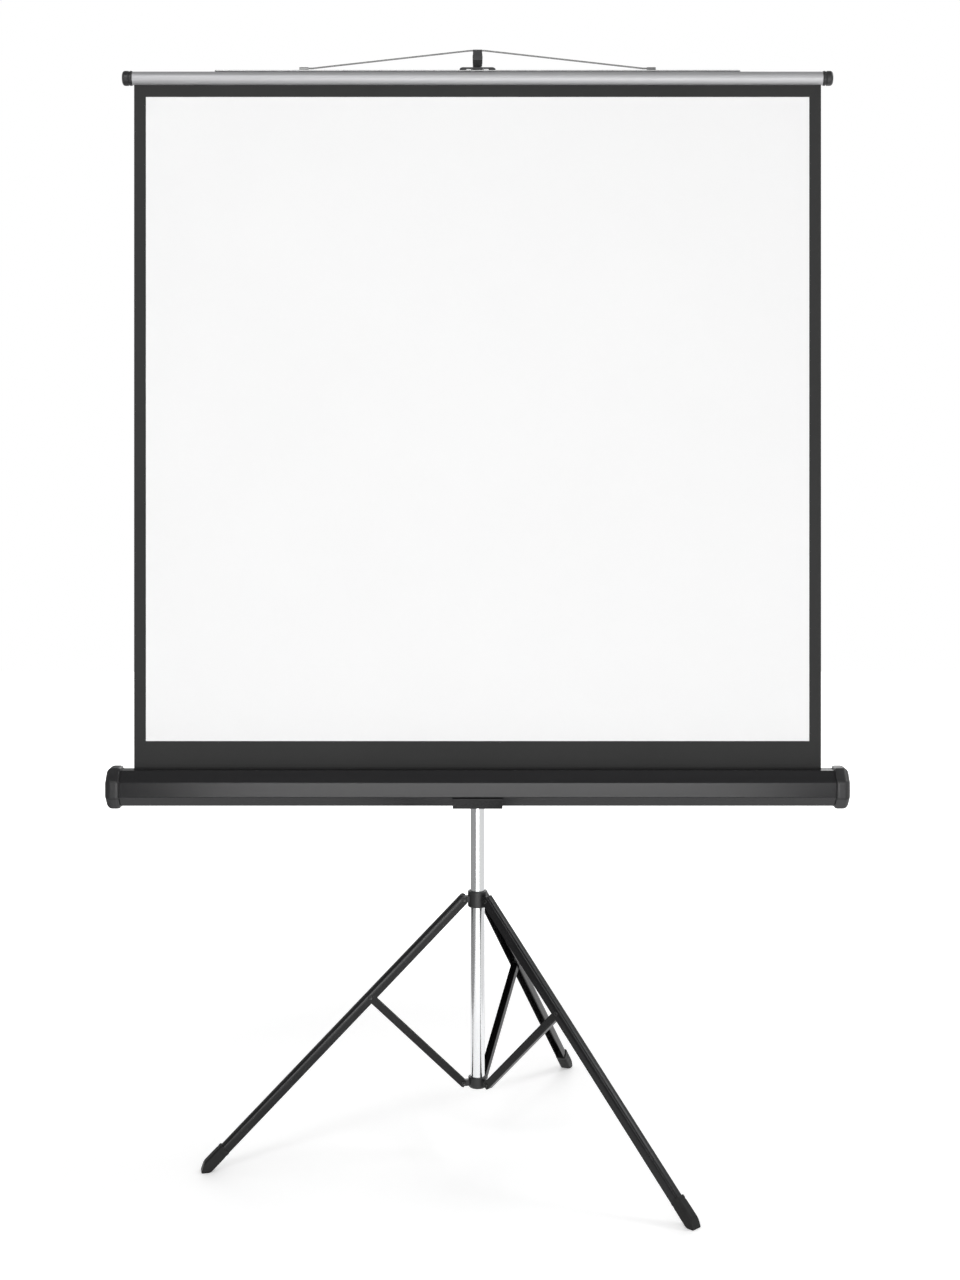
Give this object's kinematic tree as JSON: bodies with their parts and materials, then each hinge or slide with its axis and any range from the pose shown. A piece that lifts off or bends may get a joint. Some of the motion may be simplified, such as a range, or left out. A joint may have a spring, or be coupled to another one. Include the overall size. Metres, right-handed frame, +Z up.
{
  "type": "tripod projection screen",
  "caption": "Portable projection screen: white fabric with black borders drawn from an octagonal roller case, hung from a hook on a telescoping mast over a folding tripod stand.",
  "frame": {"origin": "on the floor, under the middle of the bounding box", "axes": "+Z up, +X to the right of a viewer who faces the screen, -Y towards that viewer"},
  "size_m": [1.636, 1.0192, 2.4755],
  "materials": {
    "chrome_tube": "bright plated tube",
    "black_plastic": "satin black moulding",
    "black_paint": "semi-gloss black paint",
    "case_paint": "dark grey satin paint",
    "zinc_steel": "zinc plated",
    "slat_alloy": "satin extrusion",
    "boot_rubber": "matte black rubber",
    "natural_nylon": "natural nylon",
    "screen_cloth": "matte white with printed black borders"
  },
  "bodies": {
    "stand": {"pole_tube": "chrome_tube", "lower_hub": "black_plastic", "hub_pin_1": "zinc_steel", "hub_pin_2": "zinc_steel", "hub_pin_3": "zinc_steel", "leg_stop_rivet": "zinc_steel", "mast_clamp": "black_plastic"},
    "brace_1": {"brace_1": "black_paint"},
    "brace_2": {"brace_2": "black_paint"},
    "brace_3": {"brace_3": "black_paint"},
    "leg_1": {"leg_1": "black_paint", "foot_1": "boot_rubber", "brace_pin_1": "zinc_steel"},
    "leg_2": {"leg_2": "black_paint", "foot_2": "boot_rubber", "brace_pin_2": "zinc_steel"},
    "leg_3": {"leg_3": "black_paint", "foot_3": "boot_rubber", "brace_pin_3": "zinc_steel"},
    "collar": {"upper_collar": "black_plastic", "leg_pin_1": "zinc_steel", "leg_pin_2": "zinc_steel", "leg_pin_3": "zinc_steel"},
    "carriage": {"carriage": "black_plastic", "case_pivot_bolt": "zinc_steel"},
    "case_knob": {"case_knob": "black_plastic"},
    "mast_knob": {"mast_knob": "black_plastic"},
    "case": {"case_shell": "case_paint", "case_saddle": "black_paint", "saddle_rivet_left": "zinc_steel", "saddle_rivet_right": "zinc_steel", "end_cap_left": "black_plastic", "end_cap_right": "black_plastic", "cap_screw_left_lower": "zinc_steel", "cap_screw_left_upper": "zinc_steel", "cap_screw_right_lower": "zinc_steel", "cap_screw_right_upper": "zinc_steel", "roller_bracket_left": "zinc_steel", "roller_bracket_right": "zinc_steel", "spring_mandrel": "zinc_steel", "screen_fabric": "screen_cloth"},
    "roller": {"roller_tube": "zinc_steel", "fabric_wraps": "screen_cloth", "roller_plug_left": "natural_nylon", "roller_plug_right": "natural_nylon", "spring_anchor": "zinc_steel", "roller_spring": "zinc_steel"},
    "slat": {"slat_bar": "slat_alloy", "slat_cap_left": "black_plastic", "slat_cap_right": "black_plastic", "bail_strip": "zinc_steel", "slat_grip": "black_plastic", "bail_clip_left": "zinc_steel", "bail_clip_right": "zinc_steel"},
    "bail": {"bail_wire": "zinc_steel"},
    "mast": {"mast_tube": "chrome_tube", "mast_bush": "natural_nylon", "hook_head": "black_plastic"}
  },
  "joints": [
    {"name": "tripod_fold", "type": "hinge", "parent": "stand", "child": "brace_1", "pos_m": [-0.03326, -0.07687, 0.154], "axis": [-0.2079, 0.9781, 0], "range_deg": [0, 44]},
    {"name": "leg_1_fold", "type": "hinge", "parent": "brace_1", "child": "leg_1", "pos_m": [-0.24072, -0.12097, 0.361], "axis": [0.2079, -0.9781, 0], "range_deg": [0, 88]},
    {"name": "collar_fold", "type": "hinge", "parent": "leg_1", "child": "collar", "pos_m": [-0.03326, -0.07687, 0.568], "axis": [-0.2079, 0.9781, 0], "range_deg": [0, 44]},
    {"name": "leg_2_fold", "type": "hinge", "parent": "collar", "child": "leg_2", "pos_m": [0.02446, -0.09341, 0.568], "axis": [0.6947, 0.7193, 0], "range_deg": [0, 44]},
    {"name": "leg_3_fold", "type": "hinge", "parent": "collar", "child": "leg_3", "pos_m": [0.01274, -0.03827, 0.568], "axis": [-0.9272, 0.3746, 0], "range_deg": [0, 44]},
    {"name": "brace_2_fold", "type": "hinge", "parent": "leg_2", "child": "brace_2", "pos_m": [0.17703, -0.24075, 0.361], "axis": [-0.6947, -0.7193, 0], "range_deg": [0, 88]},
    {"name": "brace_3_fold", "type": "hinge", "parent": "leg_3", "child": "brace_3", "pos_m": [0.09219, 0.15838, 0.361], "axis": [0.9272, -0.3746, 0], "range_deg": [0, 88]},
    {"name": "case_height", "type": "slide", "parent": "stand", "child": "carriage", "axis": [0, 0, 1], "range_m": [0, 0.2]},
    {"name": "case_pivot", "type": "hinge", "parent": "carriage", "child": "case", "pos_m": [0, -0.1568, 0.835], "axis": [0, 1, 0], "range_deg": [0, 60]},
    {"name": "mast_slide", "type": "slide", "parent": "carriage", "child": "mast", "axis": [0, 0, 1], "range_m": [-0.9, 0]},
    {"name": "screen_retract", "type": "slide", "parent": "case", "child": "slat", "axis": [0, 0, 1], "range_m": [-0.9, 0], "deforming": ["screen_fabric"]},
    {"name": "roller_turn", "type": "hinge", "parent": "case", "child": "roller", "pos_m": [0, -0.16769, 0.835], "axis": [1, 0, 0], "range_deg": [-2300, 0]},
    {"name": "bail_swing", "type": "hinge", "parent": "slat", "child": "bail", "pos_m": [0, -0.14584, 2.4271], "axis": [1, 0, 0], "range_deg": [0, 118]},
    {"name": "case_knob_turn", "type": "hinge", "parent": "carriage", "child": "case_knob", "pos_m": [0, -0.0535, 0.835], "axis": [0, 1, 0], "range_deg": [0, 360]},
    {"name": "mast_knob_turn", "type": "hinge", "parent": "stand", "child": "mast_knob", "pos_m": [0, -0.057, 1.367], "axis": [0, 1, 0], "range_deg": [0, 360]}
  ],
  "couplings": [
    {"joint": "leg_1_fold", "follows": "tripod_fold", "ratio": 2},
    {"joint": "collar_fold", "follows": "tripod_fold", "ratio": 1},
    {"joint": "leg_2_fold", "follows": "tripod_fold", "ratio": 1},
    {"joint": "leg_3_fold", "follows": "tripod_fold", "ratio": 1},
    {"joint": "brace_2_fold", "follows": "tripod_fold", "ratio": 2},
    {"joint": "brace_3_fold", "follows": "tripod_fold", "ratio": 2},
    {"joint": "screen_retract", "follows": "mast_slide", "ratio": 1},
    {"joint": "roller_turn", "follows": "mast_slide", "rad_per_m": 44.3}
  ]
}
